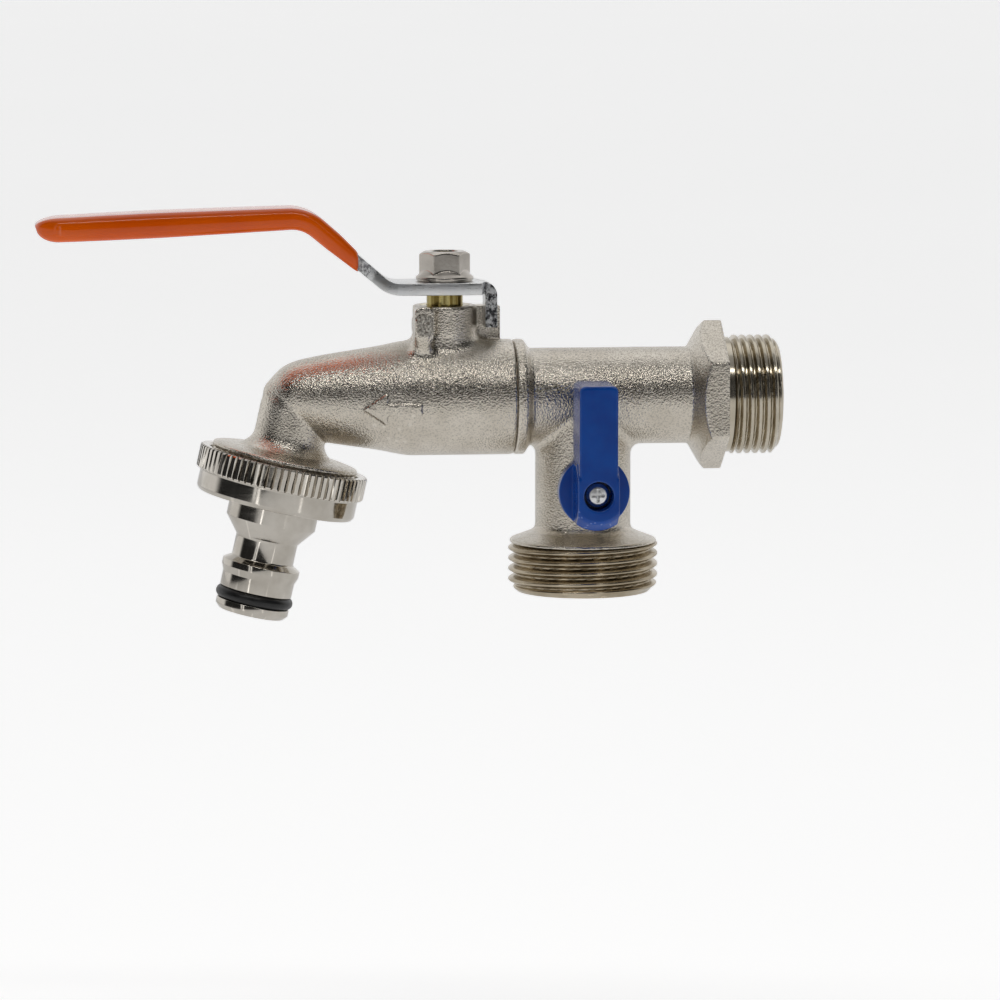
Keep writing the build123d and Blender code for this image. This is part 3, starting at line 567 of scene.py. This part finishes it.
def strip_mesh(pts, tangents, half_widths, half_thicks, power, corners=28, upright=0.0):
    """Sweeps a rounded-rectangle section along a path in the XZ plane. upright: mm over which its start is cut plumb."""
    angles = np.linspace(0, 2 * math.pi, corners, endpoint=False) + math.pi / corners
    cos, sin = np.cos(angles), np.sin(angles)
    verts, faces = [], []
    for j, ((x, z), (tx, tz), w, t) in enumerate(zip(pts, tangents, half_widths, half_thicks)):
        # the corner radius follows the thickness, so wide strips keep flat faces
        corner = min(t * power, t)
        y = np.sign(cos) * (w - corner) + cos * corner
        u = np.sign(sin) * (t - corner) + sin * corner
        travelled = math.hypot(x - pts[0][0], z - pts[0][1])
        slide = u * tz / tx * max(0.0, 1 - travelled / upright) if upright else 0 * u
        verts.append(np.stack([x - tz * u + tx * slide, y, z + tx * u + tz * slide], axis=1))
    count = len(pts)
    for j in range(count - 1):
        for i in range(corners):
            n = (i + 1) % corners
            faces.append((j * corners + i, j * corners + n, (j + 1) * corners + n, (j + 1) * corners + i))
    faces.append(tuple(range(corners)))
    faces.append(tuple((count - 1) * corners + i for i in reversed(range(corners))))
    return np.concatenate(verts), faces


STRIP = 2.65
HUB_Z = 23.15 + STRIP / 2
TAB_X, SHOULDERS_X = 10.07, 7.8
HANDLE = [(TAB_X, 15.7), (TAB_X, HUB_Z), (-12.6, HUB_Z), (-31.1, 40.3), (-87.0, 38.25)]
GRIP = [(-19.5, 30.38), (-31.1, 40.2), (-90.05, 37.75)]


def lever_strip():
    pts, tangents, along = path_points(HANDLE, [0, 1.75, 7.0, 9.0, 0], 0.3)
    x = pts[:, 0]
    width = np.interp(-x, [-SHOULDERS_X - 0.3, -SHOULDERS_X, 11, 16, 83, 87], [3.2, 7.0, 7.0, 6.0, 6.0, 3.0])
    thick = np.full(len(pts), STRIP / 2)
    verts, faces = strip_mesh(pts + (STEM_X, 0), tangents, width, thick, 0.14)
    strap = make_object("lever_strap", verts, faces, "zinc_steel", "main_handle", ["main_lever"], 40)
    strap.data.materials.append(MATERIALS["sheared"])
    strap.data.materials.append(MATERIALS["combed_edge"])
    for polygon in strap.data.polygons:
        x_mm = polygon.center.x / MM - STEM_X
        if abs(polygon.normal.y) > 0.6 and x_mm > SHOULDERS_X:
            polygon.material_index = 1
        elif abs(polygon.normal.y) > 0.6 and -24.0 < x_mm < -17.0:
            polygon.material_index = 2
    return strap


def lever_grip():
    """Dipped sleeve: thin where it starts on the strap, thickest near its rounded end."""
    pts, tangents, along = path_points(GRIP, [0, 9.0, 0], 0.4)
    x = -pts[:, 0]
    left = along[-1] - along
    nose = np.sqrt(np.clip(1 - (1 - np.clip(left / 5.2, 0, 1)) ** 2, 0, 1))
    tip = np.sqrt(np.clip(1 - (1 - np.clip(left / 8.0, 0, 1)) ** 2, 0, 1))
    thick = np.interp(x, [19.2, 20.3, 25, 36, 50, 63, 75, 84], [1.62, 1.8, 2.2, 2.4, 2.6, 2.76, 2.75, 2.66]) * nose
    width = np.interp(x, [19.2, 21, 35], [6.5, 6.8, 7.1]) * (0.25 + 0.75 * tip)
    pts[:, 1] += 0.95 * (1 - nose) ** 1.3
    lip = 1 - 0.10 * np.exp(-along / 0.3)
    thick = np.maximum(thick * lip, 0.12)
    verts, faces = strip_mesh(pts + (STEM_X, 0), tangents, width * lip, thick, 0.78, 40, 6.0)
    return make_object("lever_sleeve", verts, faces, "orange_dip", "main_handle", ["lever_grip"], 60)


lever_strip()
lever_grip()
soft_copy("lever_nut", "lever_flange_nut", 0.11, 3, "plated_nut")

# ---------------------------------------------------------------- small lever
soft_copy("branch_lever", "branch_handle", 0.16, 4, "blue_paint")
soft_copy("branch_lever_screw", "branch_handle_screw", 0.07, 2, "zinc_steel")

# ---------------------------------------------------------------- parts shown as they are in the frame
KEPT_MATERIAL = {s["node"]: s["material_slot"] for s in frame["record"]["subparts"]}
# the spring washer gets a colour darkened as painted shade
KEPT_MATERIAL.update(branch_lever_screw="pitted_head", branch_screw_spring_washer="washer_painted_shade")
for node, obj in NODES.items():
    if obj.hide_render:
        continue
    obj.data.materials.clear()
    obj.data.materials.append(MATERIALS[KEPT_MATERIAL[node]])
    obj.data.shade_smooth()
    obj.data.set_sharp_from_angle(angle=math.radians(30))


# ---------------------------------------------------------------- stage, light, camera
def studio():
    """Pale floor that reads as white behind the object and a little darker in its reflections."""
    g = Graph("studio_floor")
    tone = g.mix(g.noise(0.002, 2), (0.84, 0.84, 0.84), (0.88, 0.88, 0.88))
    seen = g.node("ShaderNodeLightPath", output="Is Camera Ray")
    material = g.finish(Base_Color=tone, Roughness=0.8, Emission_Color=(1.0, 1.0, 1.0),
                        Emission_Strength=g.ramp(seen, 0, 1, 0.29, 0.56))
    mesh = bpy.data.meshes.new("studio_floor")
    half, near, level = 30.0, -3.2, -0.16
    mesh.from_pydata([(-half, near, level), (half, near, level), (half, half, level), (-half, half, level)], [],
                     [(0, 1, 2, 3)])
    floor = bpy.data.objects.new("studio_floor", mesh)
    bpy.context.scene.collection.objects.link(floor)
    floor.data.materials.append(material)


def area_light(name, place, target, size, power, colour=(1, 1, 1)):
    data = bpy.data.lights.new(name, "AREA")
    data.shape = "RECTANGLE"
    data.size, data.size_y = size
    data.energy = power
    data.color = colour
    light = bpy.data.objects.new(name, data)
    bpy.context.scene.collection.objects.link(light)
    light.location = place
    light.rotation_euler = (Vector(target) - Vector(place)).to_track_quat("-Z", "Y").to_euler()


def studio_world():
    """Soft white room. The side where the camera stands is dark up to the key light, with two tall strip lights."""
    world = bpy.data.worlds.new("studio")
    bpy.context.scene.world = world
    world.use_nodes = True
    tree = world.node_tree
    tree.nodes.clear()

    def add(kind, inputs=None, output=0, **settings):
        made = tree.nodes.new(kind)
        for key, value in settings.items():
            setattr(made, key, value)
        for key, value in (inputs or {}).items():
            if isinstance(value, bpy.types.NodeSocket):
                tree.links.new(value, made.inputs[key])
            else:
                made.inputs[key].default_value = value
        return made.outputs[output]

    def ramp(value, low, high, to_low=0.0, to_high=1.0):
        keys = {"Value": value, "From Min": low, "From Max": high, "To Min": to_low, "To Max": to_high}
        return add("ShaderNodeMapRange", keys, interpolation_type="SMOOTHSTEP")

    def mix(factor, a, b):
        return add("ShaderNodeMix", {0: factor, 2: a, 3: b}, data_type="FLOAT")

    coords = add("ShaderNodeTexCoord", output="Generated")
    split = tree.nodes.new("ShaderNodeSeparateXYZ")
    tree.links.new(coords, split.inputs[0])
    x, y, z = split.outputs
    overhead = ramp(z, 0.84, 1.0, 0.10, 0.34)
    front = mix(ramp(z, 0.77, 0.84), 0.022, overhead)
    behind = ramp(z, 0.0, 1.0, 0.86, 0.52)
    level = mix(ramp(y, 0.06, 0.30), front, behind)
    toward = add("ShaderNodeMath", {0: y, 1: -1.0}, operation="MULTIPLY")
    azimuth = add("ShaderNodeMath", {0: x, 1: toward}, operation="ARCTAN2")
    for centre in (-37.0, 23.0):
        away = add("ShaderNodeMath", {0: azimuth, 1: math.radians(centre)}, operation="SUBTRACT")
        away = add("ShaderNodeMath", {0: away}, operation="ABSOLUTE")
        strip = ramp(away, math.radians(1.2), math.radians(2.8), 1.0, 0.0)
        low = add("ShaderNodeMath", {0: strip, 1: ramp(z, 0.62, 0.72, 1.0, 0.0)}, operation="MULTIPLY")
        level = add("ShaderNodeMath", {0: level, 1: low}, operation="MAXIMUM")
    seen = add("ShaderNodeLightPath", output="Is Camera Ray")
    shade = add("ShaderNodeBackground", {0: (1, 1, 1, 1), 1: mix(seen, level, 1.0)})
    tree.nodes.new("ShaderNodeOutputWorld")
    tree.links.new(shade, tree.nodes["World Output"].inputs[0])


def camera():
    azimuth, elevation = math.radians(-6.0), math.radians(7.0)
    target = Vector((-49.4, 0.0, -23.1)) * MM
    back = Vector((math.sin(azimuth) * math.cos(elevation), -math.cos(azimuth) * math.cos(elevation),
                   math.sin(elevation)))
    data = bpy.data.cameras.new("camera")
    data.angle = math.radians(10.3)
    data.clip_end = 200
    view = bpy.data.objects.new("camera", data)
    bpy.context.scene.collection.objects.link(view)
    view.location = target + back * 1.232
    view.rotation_euler = (-back).to_track_quat("-Z", "Y").to_euler()
    bpy.context.scene.camera = view


studio()
studio_world()
area_light("key_box", (-0.13, -0.75, 1.07), (-0.05, 0, 0), (1.2, 0.11), 2.6, (1.0, 0.99, 0.97))
area_light("top_box", (0.0, 0.45, 1.25), (-0.05, 0, 0), (1.4, 0.9), 1.7)
for side, power in ((-37.0, 0.032), (23.0, 0.016)):
    # tall strip lights low beside the camera, which draw the upright streaks on turned surfaces
    place = Vector((math.sin(math.radians(side)) * 0.4 - 0.05, -math.cos(math.radians(side)) * 0.4, 0.02))
    area_light("strip_light", place, (-0.05, 0, 0.02), (0.022, 0.34), power)
camera()
bpy.context.scene.view_settings.view_transform = "Standard"
